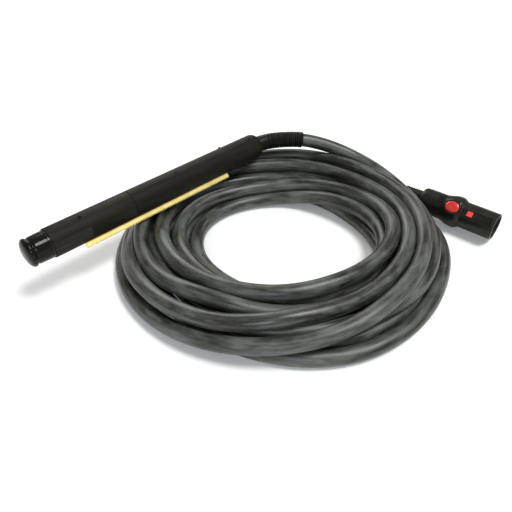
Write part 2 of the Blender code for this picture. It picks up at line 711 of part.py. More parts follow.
def release_latch():
    """One red moulding: lever with pivot eye, round button and square catch."""
    catch_rear = CATCH_X - CATCH_SIZE[0] / 2
    catch_front = CATCH_X + CATCH_SIZE[0] / 2
    reach = catch_front - 0.5 - LEVER_PIVOT[0]
    lever = [(0, -1.4), (reach, 0.1), (reach, 2.4), (0, 1.2)]
    latch = prism("release_latch", lever, 6, red_plastic(), LATCH)
    eye = turned("eye", rod(-2.7, 2.7, 3.2), red_plastic(), lever_pivot(), sides=20)
    catch = prism("catch", block_outline(catch_rear, catch_front, 11.2, 17.2), CATCH_SIZE[1],
                  red_plastic(), PLUG)
    button = button_dome()
    join(latch, eye, catch, button)
    cut(latch, turned("eye_bore", rod(-6, 6, 1.6), steel(), lever_pivot(), sides=20))
    turned("latch_pin", rod(-10.4, 10.4, 1.25), steel(), lever_pivot(), sides=16)
    upright = PLUG @ Matrix.Translation((BUTTON_X * MM, 0, 0)) @ Matrix.Rotation(-math.pi / 2, 4, "Y")
    helix("latch_spring", 6.9, 9.5, 2.6, 0.35, 3, steel(), upright)


def button_dome():
    """Oval button with a shallow domed top."""
    shape = bmesh.new()
    steps = 24
    levels = [(1.0, 11.6), (1.0, 21.2), (0.93, 22.2), (0.78, 23.0), (0.5, 23.6)]
    rings = []
    for share, z in levels:
        ring = []
        for step in range(steps):
            angle = math.tau * (step + 0.5) / steps
            x = BUTTON_X + share * BUTTON_SIZE[0] / 2 * math.cos(angle)
            y = share * BUTTON_SIZE[1] / 2 * math.sin(angle)
            ring.append(shape.verts.new((x * MM, y * MM, z * MM)))
        rings.append(ring)
    for lower, upper in zip(rings, rings[1:]):
        for step in range(steps):
            after = (step + 1) % steps
            shape.faces.new((lower[step], lower[after], upper[after], upper[step]))
    shape.faces.new(rings[0])
    shape.faces.new(rings[-1])
    return finish(shape, "button", red_plastic(), PLUG)


def plug_rear():
    """Ribbed relief, the harness to the contacts, and its clamp, on which the latch's spring rests."""
    ribs = []
    for rib in range(7):
        at = -PLUG_RELIEF_LENGTH + 1.0 + rib * 3.6
        crest = 10.3 + 0.12 * rib
        ribs += [(at + 2.0, crest), (at + 3.0, crest - 1.0)]
    turned("plug_strain_relief", [
        (-PLUG_RELIEF_LENGTH, 5.8), (-PLUG_RELIEF_LENGTH, 10.0), *ribs, (GRIP_REAR - GAP, 11.6),
        (GRIP_REAR - GAP, 8.4), (3.3, 8.4), (3.3, 11.2), (5.0, 11.2), (5.0, 5.8)],
        boot_rubber(), PLUG, HIDDEN_ROUND)
    turned("plug_harness", rod(-PLUG_RELIEF_LENGTH + 0.4, INSERT_REAR - 1, 5.2), hose_rubber(), PLUG,
           sides=16)
    turned("cord_clamp", [(12.5, 5.5), (12.5, 8.4), (20, 8.4), (20, 6.4), (45, 6.4), (45, 5.5)],
           steel(), PLUG, HIDDEN_ROUND)


def hold_together(name, place):
    """Parent everything made so far, and not yet held, to one empty."""
    empty = bpy.data.objects.new(name, None)
    empty.matrix_world = place
    bpy.context.scene.collection.objects.link(empty)
    for item in bpy.data.objects:
        if item.parent is None and item.type != "EMPTY":
            item.parent = empty
            item.matrix_parent_inverse = place.inverted()


def build():
    clear_scene()
    barrel()
    gear_rack()
    barrel_screws()
    sleeve_coupler()
    inner_rings()
    nose_cap()
    torch_head()
    consumables()
    plunger_group()
    relief_end = strain_relief()
    inner_leads(relief_end)
    hold_together("torch", TORCH)
    lead(relief_end)
    hold_together("free_lead", Matrix())
    plug_housing()
    contact_insert()
    release_latch()
    plug_rear()
    hold_together("plug", PLUG)


build()
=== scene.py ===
"""Looks of the mechanised plasma torch: its heaped lead, finer shells and every material.

Sizes are in millimetres in the row frame, and MM turns them into metres.
"""
import json
import math

import bmesh
import bpy
import numpy as np
from mathutils import Matrix, Vector

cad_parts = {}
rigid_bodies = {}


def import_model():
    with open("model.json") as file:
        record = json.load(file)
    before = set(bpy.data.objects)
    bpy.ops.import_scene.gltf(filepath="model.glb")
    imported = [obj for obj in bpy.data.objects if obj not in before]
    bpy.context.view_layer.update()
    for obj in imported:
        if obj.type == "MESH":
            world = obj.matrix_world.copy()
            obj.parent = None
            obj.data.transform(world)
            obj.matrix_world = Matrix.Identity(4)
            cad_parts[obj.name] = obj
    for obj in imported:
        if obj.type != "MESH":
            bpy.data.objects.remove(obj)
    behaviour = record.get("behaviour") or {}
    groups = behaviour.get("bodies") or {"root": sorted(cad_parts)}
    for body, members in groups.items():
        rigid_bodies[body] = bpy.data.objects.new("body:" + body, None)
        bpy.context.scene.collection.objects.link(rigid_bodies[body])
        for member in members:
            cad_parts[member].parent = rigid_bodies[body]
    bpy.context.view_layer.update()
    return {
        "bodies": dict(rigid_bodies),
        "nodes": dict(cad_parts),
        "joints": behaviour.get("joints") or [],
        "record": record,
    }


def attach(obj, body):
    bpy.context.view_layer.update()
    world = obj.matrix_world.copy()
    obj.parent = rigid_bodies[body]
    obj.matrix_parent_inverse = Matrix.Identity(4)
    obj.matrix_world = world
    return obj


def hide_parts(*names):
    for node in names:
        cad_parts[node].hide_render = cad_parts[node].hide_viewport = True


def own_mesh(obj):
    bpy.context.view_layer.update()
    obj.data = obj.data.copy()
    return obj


MM = 0.001
ROUND = 96                # sides of a turned piece
SHARP_ANGLE = 35          # degrees at an edge from which it is shaded hard
WELD = 1e-7               # metres within which two corners become one
FIXED = "torch_and_lead"  # the body that stands still

# Camera, floor and lights
CAMERA_PLACE = (-384.76, -456.45, 401.34)
CAMERA_HEADING = (0.7136, 0.7006)
CAMERA_TILT = 39.734      # degrees below the horizon
CAMERA_LENS = 34.71
CAMERA_SENSOR = 36
FLOOR_SIZE = 9000
FLOOR_DROP = 0.4          # keeps the floor's face from meeting the part's own
FLOOR_GLOW = 0.13
WORLD_STRENGTH = 0.34
SUN_FROM = (0.20, -0.42, 1.0)
SUN_STRENGTH = 2.3
SUN_WIDTH = 20            # degrees
PANEL_TARGET = (-0.03, -0.1, 0.03)
PANELS = (                # name, size in metres, watts, colour, place in metres
    ("window", 0.3, 4.5, (0.84, 0.92, 1.0), (-1.05, -1.0, 0.72)),
    ("rear_panel", 1.1, 16.0, (1.0, 0.98, 0.93), (0.75, 1.35, 1.15)),
)

# Torch's sleeves
AXIS_HEIGHT = 68.5
BARREL_FRONT = -242.0
SLEEVE_SEAM = -137.0
SEAM_GAP = 0.3
BARREL_REAR = 79.0
BARREL_R = 17.45
SLEEVE_BORE_R = 14.3
REAR_BORE_R = 11.9
REAR_WALL = 5.0
SHOULDER_LENGTH = 9.0     # the rounded rear end: how long, and how far it drops
SHOULDER_DROP = 4.25
SHOULDER_STEPS = 10
FRONT_EDGE_R = 0.5        # how far the two sleeves' edges are rounded
REAR_EDGE_R = 0.3
FLAT_ANGLE = 179.5        # angles are about the barrel's axis, from +Y over the top
FLAT_START = -197.0
FLAT_PAST_SEAM = 3.0
FLAT_SEAT_R = 15.7
FLAT_WIDTH = 22.0

# Gear rack and screws
RACK_START = -206.4
RACK_END = 10.56
RACK_WIDTH = 6.35
RACK_SEAT_R = 15.75
RACK_ANGLE = 232.0
RACK_FIT = 0.3
SCREW_ANGLE = 104.0
SCREW_HOLE_R = 1.3
SCREW_HEAD_R = 2.4
SCREW_HEAD_SEAT = 15.9
HOLE_START = 9.0          # holes are cut from this radius outwards, well inside the bore
SLEEVE_SCREWS = (-202.7, -67.6, 61.7)
SIDE_SCREWS = ((19.0, 52.0, 1.3), (12.0, 201.7, 1.2))   # place, angle, hole radius
RACK_SCREWS = (-162.0, -90.0, -8.0)
RACK_SCREW_R = 1.5

# Nose cap: (distance behind the tip, radius)
CAP_TIP = -270.5
CAP_FIT = 0.3             # the cap's gap to the barrel
CAP_OUTSIDE = [
    (0, 0.01), (0.2, 4.5), (0.7, 8.6), (1.6, 12.0), (2.9, 14.6), (4.6, 16.2), (6.4, 16.6), (8.0, 16.0),
    (8.9, 15.1), (9.8, 15.0), (11, 15.6), (14, 15.9), (22.5, 16.15), (24.2, 16.2),
]
CAP_OUTSIDE_STEP = 0.6
CAP_GROOVE = [(24.4, 15.85), (25.3, 15.75), (25.9, 15.85), (26.2, 16.35)]
CAP_INSIDE = [(11.5, 14.4), (9, 13.4), (5, 12.6), (4, 11), (3.4, 0.01)]

# Lead: route from the barrel, and the boot around it
LEAD_R = 9.25
LEAD_SIDES = 28
LEAD_SPACING = 7.0        # between the finished lead's rings
BOOT_ROUTE = [
    (60, 0, 68.5), (79, 0, 68.5), (90, -2.6, 69.3), (101, -8.8, 70.4), (112, -17.2, 71.2),
    (123, -26.8, 71.4), (134, -36.6, 70.6), (145, -46.6, 68), (156.5, -57.4, 63.6), (168, -69, 57.6),
]
BOOT_LENGTH = 71.0
BOOT_INSIDE = 13.0        # how far the boot reaches into the barrel
BOOT_STEP = 0.5
BOOT_SIDES = 48
BOOT_NECK = 20.0
BOOT_NECK_PLACES = (-5.6, -5.5, 0, 15, BOOT_NECK)       # from the barrel's end
BOOT_NECK_RADII = (13.8, 10.9, 10.9, 11.1, 11.0)
BOOT_RIBS = 18
BOOT_VALLEY_R = 9.9
BOOT_TAPER = 0.2
BOOT_RIB_HEIGHT = 1.6

# Heap of turns: radius and height about HEAP_CENTRE at each station, torch to plug
HEAP_CENTRE = (-6.0, -128.0)
STATIONS = (-14, -45, -80, -115, -150, -185, -220, -260, -300, -335)
TAIL = [
    (134, -36.6, 70.6), (145, -46.6, 68), (156.5, -57.4, 63.6), (168, -69, 57.6), (178.5, -82, 51),
    (186.5, -97, 45.4), (191.5, -113, 41), (193.5, -130, 37.5),
]
TURNS = [
    [(193, 33), (188, 31), (181, 28), (172, 25), (165, 24),
     (150, 25), (160, 25), (168, 24), (155, 24), (165, 14)],
    [(184, 9.3), (189, 9.3), (178, 9.3), (177, 9.3), (160, 9.3),
     (149, 9.3), (152, 9.3), (150, 9.3), (139, 9.3), (142, 9.3)],
    [(158, 9.3), (160, 9.3), (156, 9.3), (152, 9.3), (136, 9.3),
     (125, 9.3), (126, 9.3), (125, 9.3), (117, 9.3), (114, 9.3)],
    [(109, 9.3), (126, 9.3), (134, 9.3), (126, 9.3), (105, 9.3),
     (102, 9.3), (110, 9.3), (110, 9.3), (99, 9.3), (107, 14)],
    [(111, 25), (131, 26), (128, 25), (126, 24), (126, 24),
     (122, 24), (129, 25), (122, 25), (106, 25), (113, 26)],
    [(132, 34), (140, 40), (130, 41), (126, 42), (135, 42),
     (143, 41), (149, 38), (148, 30), (130, 25), (132, 25)],
    [(136, 15), (152, 24), (146, 25), (144, 26), (148, 29),
     (165, 33), (171, 34), (160, 40), (141, 41), (145, 41)],
    [(150, 41), (157, 42), (153, 41), (158, 39), (176, 38),
     (187, 33), (187, 26), (178, 34), (166, 41), (176, 42)],
    [(174, 43), (172, 43), (174, 40), (181, 35), (191, 24),
     (196, 12), (198, 9.3), (190, 9.3), (180, 9.3), (196, 9.3)],
    [(201, 9.3), (203, 9.3), (197, 9.3), (195, 9.3), (180, 9.3),
     (168, 9.3), (171, 9.3), (185, 9.3), (200, 9.3), (208, 10)],
]
TO_PLUG = [
    (199, -135, 11.5), (196, -152, 15.5), (192.8, -167, 19.6), (191, -179, 21.8), (190.4, -189.2, 22.5),
]

# How the turns are settled
ROUTE_SPACING = 12.0
CLEARANCE = 0.2           # left between two turns, and between a turn and a hard piece
SETTLE_ROUNDS = 300
PAIRS_EVERY = 15          # rounds between two searches for near pairs
PAIRS_WITHIN = 1.6        # how near a pair is looked at, in diameters
NEIGHBOURS_WITHIN = 3     # points nearer than this along the lead don't push, in diameters
HOME_PULL = 0.02          # how strongly a point is drawn back to its rough place, at first
HOME_PULL_ROUNDS = 240    # in how many rounds that pull fades
HOME_PULL_LEFT = 0.15     # the share of it that stays
STIFFNESS = 0.3
TAIL_LENGTH = 500         # the lead's first stretch, which may touch barrel and rack
LAST_STRETCH = 90         # and its last, which runs into the plug
RACK_OUT = 20.0           # the rack as an obstacle: how far its middle is from the axis
RACK_OBSTACLE_R = 4.2
GRIP_OBSTACLE_END = 60    # the plug's grip as an obstacle, along the plug's own axis

# Plug, in its own frame: X towards the mouth, Z out through the release button
PLUG_REAR = (192.6, -222.8, 22.5)
PLUG_HEADING = -86.3
PLUG_ROLL = 44.0
PLUG_LENGTH = 94.8
RELIEF_START = -34
RELIEF_R = 11.6
GRIP_REAR = -7.5
GRIP_LENGTH = 51.5
GRIP_R = 17.2
GRIP_BACK = [(0, 8.8), (0, 14.3), (0.5, 15.3), (1.4, 16.1), (3.6, 16.8), (9.5, 17.0)]   # from GRIP_REAR
GRIP_FLARE = (22, 18, 3.9)                # start, length and rise of the bulge
GRIP_FLARE_STEPS = 14
GRIP_FRONT = [(43, 21.2), (45, 21.05), (46.6, 20.6), (48, 19.8), (49.3, 18.9), (50.3, 18.1)]
GRIP_BORE = [(40, 15.9), (34, 16.4), (22, 14.4), (3, 14.0), (3, 8.8)]
GRIP_TO_SHOULDER = 0.3
SLEEVE_R = 17.6
SLEEVE_NECK_START = 44.5
SLEEVE_NECK_R = (13.4, 15.6)
SLEEVE_MOUTH_R = 15.0
SLEEVE_EDGE_R = 0.35
KEY_CHANNEL = (GRIP_LENGTH - 4, 90.5, 16.2, 20, 9.4)    # start, end, floor, top, width
LEVER_PIVOT = (9.0, 10.8)
LEVER_REAR = 3.6
LEVER_WIDTH = 7.4
LEVER_FLOOR = 6.5         # the lever's way, from here up to the top in the grip or in the sleeve's neck
LEVER_TOP = (15.3, 18)
PIN_R = 1.55
PIN_REACH = 10.8
BUTTON_X = 38.5
BUTTON_SIZE = (18.4, 15.0)
BUTTON_FIT = (1.6, 1.0)
BUTTON_BOSS = [(22.5, 19.2, 15.4), (22.5, 19.2, 21.0), (22.2, 18.9, 21.5), (21.6, 18.3, 21.7),
               (20.6, 17.2, 21.6)]         # length, width, height
CATCH_X = 62.0
CATCH_SIZE = (7.4, 6.8)
CATCH_FIT = 0.9
CATCH_WINDOW = (10, 20)   # floor and top of the cuts for catch and button
BUTTON_WINDOW = (11, 26)
GRIP_SCREWS = ((47.5, 206.0), (47.5, 334.0))
GRIP_SCREW_R = 1.3
GRIP_SCREW_HOLE = (10, 24)

# Springs: node, joint, ends from fixed to moving, coil radius, wire radius, turns, share of length kept
PLUNGER_SPRING = ("plunger_spring", "electrode_blowback", -209.4, -232.0, 4.2, 0.45, 5, 0.925)
LATCH_SPRING = ("latch_spring", "release_button_press", 6.9, 9.5, 2.6, 0.35, 3, 0.2)
WIRE_SIDES = 8
WIRE_STEPS = 24           # per turn

# Finishes: two shades a surface drifts between, its roughness, and what else differs from the usual
MOULDED = {
    "barrel_plastic": {"dark": (0.0078, 0.0070, 0.0050), "light": (0.0165, 0.0150, 0.0108), "rough": 0.50,
                       "shine": 0.08},
    "cap_vinyl": {"dark": (0.005, 0.005, 0.004), "light": (0.010, 0.010, 0.0075), "rough": 0.16,
                  "grain": 0.04, "scale": 12, "shine": 0.14},
    "boot_rubber": {"dark": (0.0045, 0.0045, 0.0036), "light": (0.010, 0.010, 0.0080), "rough": 0.45,
                    "grain": 0.2, "scale": 30, "shine": 0.15},
    "plug_plastic": {"dark": (0.0080, 0.0076, 0.0050), "light": (0.0180, 0.0172, 0.0120), "rough": 0.34,
                     "grain": 0.15, "scale": 14, "shine": 0.22},
    "insert_plastic": {"dark": (0.010, 0.010, 0.010), "light": (0.020, 0.020, 0.020), "rough": 0.5},
    "hose_rubber": {"dark": (0.016, 0.016, 0.016), "light": (0.030, 0.030, 0.030), "rough": 0.5},
    "seal_rubber": {"dark": (0.010, 0.010, 0.010), "light": (0.018, 0.018, 0.018), "rough": 0.4},
    "red_plastic": {"dark": (0.62, 0.022, 0.018), "light": (0.76, 0.045, 0.034), "rough": 0.2,
                    "grain": 0.03, "scale": 40, "coat": 0.7},
    "swirl_ceramic": {"dark": (0.55, 0.40, 0.26), "light": (0.70, 0.55, 0.38), "rough": 0.5},
}
METALS = {
    "brass": {"dark": (0.84, 0.68, 0.24), "light": (1.0, 0.85, 0.36), "rough": 0.50},
    "copper": {"dark": (0.55, 0.22, 0.11), "light": (0.83, 0.43, 0.27), "rough": 0.3},
    "steel": {"dark": (0.008, 0.008, 0.008), "light": (0.022, 0.022, 0.021), "rough": 0.45},
}

TORCH = Matrix.Translation((0, 0, AXIS_HEIGHT * MM))


def plug_frame():
    """The plug's place and turn in the world."""
    heading = math.radians(PLUG_HEADING)
    roll = math.radians(PLUG_ROLL)
    along = Vector((math.cos(heading), math.sin(heading), 0))
    level = Vector((math.sin(heading), -math.cos(heading), 0))
    out = level * math.cos(roll) + Vector((0, 0, math.sin(roll)))
    turn = Matrix((along, out.cross(along), out)).transposed().to_4x4()
    return Matrix.Translation(Vector(PLUG_REAR) * MM) @ turn


PLUG = plug_frame()
BUTTON_SHAFT = PLUG @ Matrix.Translation((BUTTON_X * MM, 0, 0)) @ Matrix.Rotation(-math.pi / 2, 4, "Y")


# ---- the lead's path -----------------------------------------------------------

def smooth_route(points, spacing):
    """Evenly spaced points on a smooth curve through a route's own points."""
    points = np.array(points, float)
    ends = np.vstack([2 * points[0] - points[1], points, 2 * points[-1] - points[-2]])
    fine = []
    for before, start, end, after in zip(ends, ends[1:], ends[2:], ends[3:]):
        for t in np.linspace(0, 1, 24, endpoint=False):
            fine.append(0.5 * (2 * start + (end - before) * t
                               + (2 * before - 5 * start + 4 * end - after) * t ** 2
                               + (3 * start - before - 3 * end + after) * t ** 3))
    fine.append(points[-1])
    return respaced(np.array(fine), spacing)


def steps_along(route):
    """How far along a route each of its points is."""
    return np.r_[0, np.cumsum(np.linalg.norm(np.diff(route, axis=0), axis=1))]


def respaced(route, spacing):
    """The same route as evenly spaced points."""
    along = steps_along(route)
    wanted = np.linspace(0, along[-1], round(along[-1] / spacing) + 1)
    return np.stack([np.interp(wanted, along, route[:, axis]) for axis in range(3)], 1)


def heap_route():
    """The lead's rough path: tail, turns by their stations, and the run to the plug."""
    points = list(TAIL)
    for turn in TURNS:
        for degrees, (radius, height) in zip(STATIONS, turn):
            angle = math.radians(degrees)
            points.append((HEAP_CENTRE[0] + radius * math.cos(angle),
                           HEAP_CENTRE[1] + radius * math.sin(angle), height))
    return smooth_route(points + TO_PLUG, ROUTE_SPACING)


def straightened(route, share):
    """One step towards even bending, with both ends held."""
    bend = np.zeros_like(route)
    bend[1:-1] = (route[:-2] + route[2:]) / 2 - route[1:-1]
    change = np.zeros_like(route)
    change[1:-1] = (bend[:-2] + bend[2:]) / 2 - bend[1:-1]
    return route - share * change


def kept_off(route, start, end, radius, free):
    """Push the free points of a route out of a straight round obstacle."""
    length = np.linalg.norm(end - start)
    axis = (end - start) / length
    along = np.clip((route - start) @ axis, 0, length)
    away = route - (start + along[:, None] * axis)
    distance = np.linalg.norm(away, axis=1)
    clear = radius + LEAD_R + CLEARANCE
    inside = (distance < clear) & free
    route[inside] += away[inside] * (clear / distance[inside] - 1)[:, None]


def obstacles(count):
    """Barrel, rack, plug's relief and grip: ends, radius, and which points may not enter."""
    number = np.arange(count)
    beyond_tail = number > TAIL_LENGTH / ROUTE_SPACING
    before_plug = number < count - LAST_STRETCH / ROUTE_SPACING
    barrel = [np.array((x, 0, AXIS_HEIGHT)) for x in (CAP_TIP, BARREL_REAR)]
    angle = math.radians(RACK_ANGLE)
    rack = [np.array((x, RACK_OUT * math.cos(angle), AXIS_HEIGHT + RACK_OUT * math.sin(angle)))
            for x in (RACK_START, RACK_END)]
    on_plug = [np.array(PLUG @ Vector((x * MM, 0, 0))) / MM
               for x in (RELIEF_START, GRIP_REAR, GRIP_OBSTACLE_END)]
    return [
        (*barrel, BARREL_R, beyond_tail),
        (*rack, RACK_OBSTACLE_R, beyond_tail),
        (on_plug[0], on_plug[1], RELIEF_R, before_plug),
        (on_plug[1], on_plug[2], GRIP_R, before_plug),
    ]


def settled(route):
    """Push the turns apart to a diameter, keeping them smooth, above the floor and off the hard pieces."""
    home = route.copy()
    count = len(route)
    hard_pieces = obstacles(count)
    apart = 2 * LEAD_R + CLEARANCE
    neighbours = math.ceil(NEIGHBOURS_WITHIN * apart / ROUTE_SPACING)
    first, second = np.triu_indices(count, neighbours)
    for turn in range(SETTLE_ROUNDS):
        if turn % PAIRS_EVERY == 0:
            near = ((route[first] - route[second]) ** 2).sum(1) < (PAIRS_WITHIN * apart) ** 2
            one, other = first[near], second[near]
        between = route[one] - route[other]
        distance = np.linalg.norm(between, axis=1)
        touching = distance < apart
        share = np.where(touching, (apart / np.maximum(distance, 1e-6) - 1) / 2, 0)
        push = share[:, None] * between
        moved = np.stack([np.bincount(one, push[:, axis], count) - np.bincount(other, push[:, axis], count)
                          for axis in range(3)], 1)
        contacts = np.bincount(one, touching, count) + np.bincount(other, touching, count)
        route = route + moved / np.sqrt(np.maximum(contacts, 1))[:, None]
        fading = 1 - turn / HOME_PULL_ROUNDS
        route = route + (home - route) * HOME_PULL * max(HOME_PULL_LEFT, fading)
        route = straightened(straightened(route, STIFFNESS), STIFFNESS)
        route[:, 2] = np.maximum(route[:, 2], LEAD_R)
        for piece in hard_pieces:
            kept_off(route, *piece)
        route[:3], route[-3:] = home[:3], home[-3:]
    return route


# ---- mesh helpers --------------------------------------------------------------

def linked(name, shape, material, place=Matrix()):
    """Turn a bmesh into a named, smooth-shaded object, moved to its place."""
    bmesh.ops.recalc_face_normals(shape, faces=shape.faces)
    mesh = bpy.data.meshes.new(name)
    shape.to_mesh(mesh)
    shape.free()
    mesh.transform(place)
    mesh.shade_smooth()
    mesh.set_sharp_from_angle(angle=math.radians(SHARP_ANGLE))
    if material:
        mesh.materials.append(material)
    made = bpy.data.objects.new(name, mesh)
    bpy.context.scene.collection.objects.link(made)
    return made


def skinned(shape, rings):
    """Faces between rings of corners that follow one another, and one across each end."""
    for start, end in zip(rings, rings[1:]):
        for step in range(len(start)):
            after = (step + 1) % len(start)
            shape.faces.new((start[step], start[after], end[after], end[step]))
    shape.faces.new(rings[0])
    shape.faces.new(rings[-1])


def swept(name, route, radii, material, sides):
    """A round body along a route, with the place along and around it kept as the attribute 'wrap'."""
    shape = bmesh.new()
    wrap = []
    rings = []
    along = steps_along(route)
    ahead = np.gradient(route, axis=0)
    for centre, forward, radius, length in zip(route, ahead, radii, along):
        side = np.cross((0, 0, 1), forward)
        side = side / np.linalg.norm(side)
        up = np.cross(forward, side)
        up = up / np.linalg.norm(up)
        ring = []
        for step in range(sides):
            angle = math.tau * step / sides
            across, height = radius * math.cos(angle), radius * math.sin(angle)
            ring.append(shape.verts.new((centre + side * across + up * height) * MM))
            wrap.append((length * MM, across * MM, height * MM))
        rings.append(ring)
    skinned(shape, rings)
    made = linked(name, shape, material)
    kept = made.data.attributes.new("wrap", "FLOAT_VECTOR", "POINT")
    kept.data.foreach_set("vector", np.array(wrap, np.float32).ravel())
    return made


def rounded(outline, radius, steps=4):
    """The same outline with each of its corners turned into a small curve."""
    outline = [np.array(point, float) for point in outline]
    soft = []
    for before, corner, after in zip([outline[-1]] + outline[:-1], outline, outline[1:] + [outline[0]]):
        back, ahead = before - corner, after - corner
        reach_back, reach_ahead = np.linalg.norm(back), np.linalg.norm(ahead)
        start = corner + back / reach_back * min(radius, 0.4 * reach_back)
        end = corner + ahead / reach_ahead * min(radius, 0.4 * reach_ahead)
        for t in np.linspace(0, 1, steps):
            soft.append((1 - t) ** 2 * start + 2 * t * (1 - t) * corner + t ** 2 * end)
    return soft


def turned(name, outline, material, place=Matrix(), sides=ROUND, radius=0.0):
    """A lathe-turned ring about local X from a closed outline of (x, radius) points."""
    if radius:
        outline = rounded(outline, radius)
    shape = bmesh.new()
    verts = [shape.verts.new((x * MM, 0, max(r, 0) * MM)) for x, r in outline]
    edges = [shape.edges.new(pair) for pair in zip(verts, verts[1:] + verts[:1])]
    bmesh.ops.spin(shape, geom=verts + edges, cent=(0, 0, 0), axis=(1, 0, 0),
                   angle=math.tau, steps=sides, use_merge=True)
    bmesh.ops.remove_doubles(shape, verts=shape.verts, dist=WELD)
    return linked(name, shape, material, place)


def rod(start, end, radius, place=Matrix(), sides=32):
    """A plain round bar about local X, to cut holes with."""
    shape = bmesh.new()
    turn = Matrix.Translation(((start + end) / 2 * MM, 0, 0)) @ Matrix.Rotation(math.pi / 2, 4, "Y")
    bmesh.ops.create_cone(shape, cap_ends=True, segments=sides, radius1=radius * MM, radius2=radius * MM,
                          depth=(end - start) * MM, matrix=turn)
    return linked("cutter", shape, None, place)


def block(x_low, x_high, z_low, z_high, width, place=Matrix()):
    """A box of a width centred on local Y, to cut slots with."""
    shape = bmesh.new()
    middle = Matrix.Translation(((x_low + x_high) / 2 * MM, 0, (z_low + z_high) / 2 * MM))
    size = Matrix.Diagonal(((x_high - x_low) * MM, width * MM, (z_high - z_low) * MM, 1))
    bmesh.ops.create_cube(shape, size=1.0, matrix=middle @ size)
    return linked("cutter", shape, None, place)


def oval(x_centre, levels, place, sides=72):
    """An oval stack about local Z from (length, width, height) levels."""
    shape = bmesh.new()
    rings = []
    for length, width, height in levels:
        angles = [math.tau * step / sides for step in range(sides)]
        rings.append([shape.verts.new(((x_centre + length / 2 * math.cos(angle)) * MM,
                                       width / 2 * math.sin(angle) * MM, height * MM)) for angle in angles])
    skinned(shape, rings)
    return linked("cutter", shape, None, place)


def combined(target, operation, *others):
    """Boolean the helpers into a target for good, and remove them."""
    for other in others:
        change = target.modifiers.new("shape", "BOOLEAN")
        change.operation = operation
        change.solver = "EXACT"
        change.object = other
    graph = bpy.context.evaluated_depsgraph_get()
    mesh = bpy.data.meshes.new_from_object(target.evaluated_get(graph))
    target.modifiers.clear()
    target.data = mesh
    for other in others:
        bpy.data.objects.remove(other)
    mesh.shade_smooth()
    mesh.set_sharp_from_angle(angle=math.radians(SHARP_ANGLE))


def radial(frame, x, degrees):
    """Local X turned to point outwards at an angle about the frame's X axis."""
    turn = Matrix.Rotation(math.radians(degrees), 4, "X") @ Matrix.Rotation(math.radians(90), 4, "Z")
    return frame @ Matrix.Translation((x * MM, 0, 0)) @ turn


def about_axis(frame, degrees):
    """Local Z turned to point outwards at an angle about the frame's X axis."""
    return frame @ Matrix.Rotation(math.radians(degrees - 90), 4, "X")


def placed(piece, body, slot, *nodes):
    """Attach a finished piece to the body it rides on and hide the CAD nodes it stands for; the slot is not
    used.
    """
    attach(piece, body)
    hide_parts(*nodes)


# ---- materials -----------------------------------------------------------------

class Paint:
    """One Principled material and short ways to add nodes to it."""

    def __init__(self, name, **sockets):
        self.material = bpy.data.materials.new(name)
        self.material.use_nodes = True
        self.nodes = self.material.node_tree.nodes
        self.shader = self.nodes["Principled BSDF"]
        for socket, value in sockets.items():
            self.shader.inputs[socket.replace("_", " ")].default_value = value

    def link(self, output, target):
        self.material.node_tree.links.new(output, target)

    def place(self, stretch, attribute=None):
        """Coordinates in metres, or along and around a cord, stretched per axis."""
        if attribute:
            source = self.nodes.new("ShaderNodeAttribute")
            source.attribute_name = attribute
            output = source.outputs["Vector"]
        else:
            output = self.nodes.new("ShaderNodeTexCoord").outputs["Object"]
        mapping = self.nodes.new("ShaderNodeMapping")
        mapping.inputs["Scale"].default_value = stretch
        self.link(output, mapping.inputs["Vector"])
        return mapping.outputs["Vector"]

    def noise(self, place, detail=4.0, rough=0.55):
        """Soft random values over the given coordinates."""
        texture = self.nodes.new("ShaderNodeTexNoise")
        texture.inputs["Scale"].default_value = 1.0
        texture.inputs["Detail"].default_value = detail
        texture.inputs["Roughness"].default_value = rough
        self.link(place, texture.inputs["Vector"])
        return texture.outputs["Fac"]

    def ramp(self, value, stops):
        """Map a value through (position, colour or number) stops."""
        ramp = self.nodes.new("ShaderNodeValToRGB")
        elements = ramp.color_ramp.elements
        while len(elements) < len(stops):
            elements.new(0.5)
        for element, (position, colour) in zip(elements, stops):
            element.position = position
            shade = colour if isinstance(colour, tuple) else (colour, colour, colour)
            element.color = (*shade, 1)
        self.link(value, ramp.inputs["Fac"])
        return ramp.outputs["Color"]

    def mix(self, factor, first, second):
        """Blend two colours or values by a factor, each a number, a colour or a node's output."""
        mix = self.nodes.new("ShaderNodeMix")
        mix.data_type = "RGBA"
        sockets = (mix.inputs["Factor"], mix.inputs[6], mix.inputs[7])      # 6 and 7 are the colours
        for value, socket in zip((factor, first, second), sockets):
            if isinstance(value, bpy.types.NodeSocket):
                self.link(value, socket)
            elif isinstance(value, tuple):
                socket.default_value = (*value, 1)
            else:
                socket.default_value = value
        return mix.outputs[2]

    def edges(self):
        """How worn a spot is: high on convex edges."""
        geometry = self.nodes.new("ShaderNodeNewGeometry")
        return self.ramp(geometry.outputs["Pointiness"], [(0.52, 0.0), (0.6, 1.0)])

    def colour(self, output):
        self.link(output, self.shader.inputs["Base Color"])

    def roughness(self, output):
        self.link(output, self.shader.inputs["Roughness"])

    def bump(self, height, strength, distance):
        """Relief from a height, as deep as a distance in millimetres."""
        bump = self.nodes.new("ShaderNodeBump")
        bump.inputs["Strength"].default_value = strength
        bump.inputs["Distance"].default_value = distance * MM
        self.link(height, bump.inputs["Height"])
        self.link(bump.outputs["Normal"], self.shader.inputs["Normal"])


